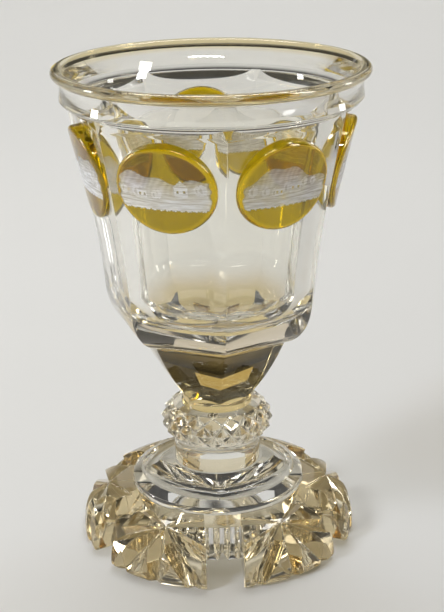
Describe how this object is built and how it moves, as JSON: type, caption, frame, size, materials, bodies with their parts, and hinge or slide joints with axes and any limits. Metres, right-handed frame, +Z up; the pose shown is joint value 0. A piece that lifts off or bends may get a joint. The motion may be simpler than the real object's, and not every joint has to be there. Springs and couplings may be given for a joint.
{
  "type": "cut crystal goblet",
  "caption": "Seven-sided clear crystal goblet with raised amber medallions on a diamond-cut knop and a fan-cut lobed foot.",
  "frame": {"origin": "on the table under the goblet's axis", "axes": "+Z up along the axis from the foot to the rim; an edge between two bowl panels faces -Y"},
  "size_m": [0.0936, 0.0936, 0.1497],
  "materials": {
    "crystal": "polished clear crystal, faintly straw coloured where it is thick",
    "amber_stain": "polished clear glass with a yellow amber stain, matt where it is engraved"
  },
  "bodies": {
    "root": {"bowl": "crystal", "medallion_1": "amber_stain", "medallion_2": "amber_stain", "medallion_3": "amber_stain", "medallion_4": "amber_stain", "medallion_5": "amber_stain", "medallion_6": "amber_stain", "medallion_7": "amber_stain", "knop": "crystal", "stem_collar": "crystal", "foot": "crystal"}
  },
  "joints": []
}
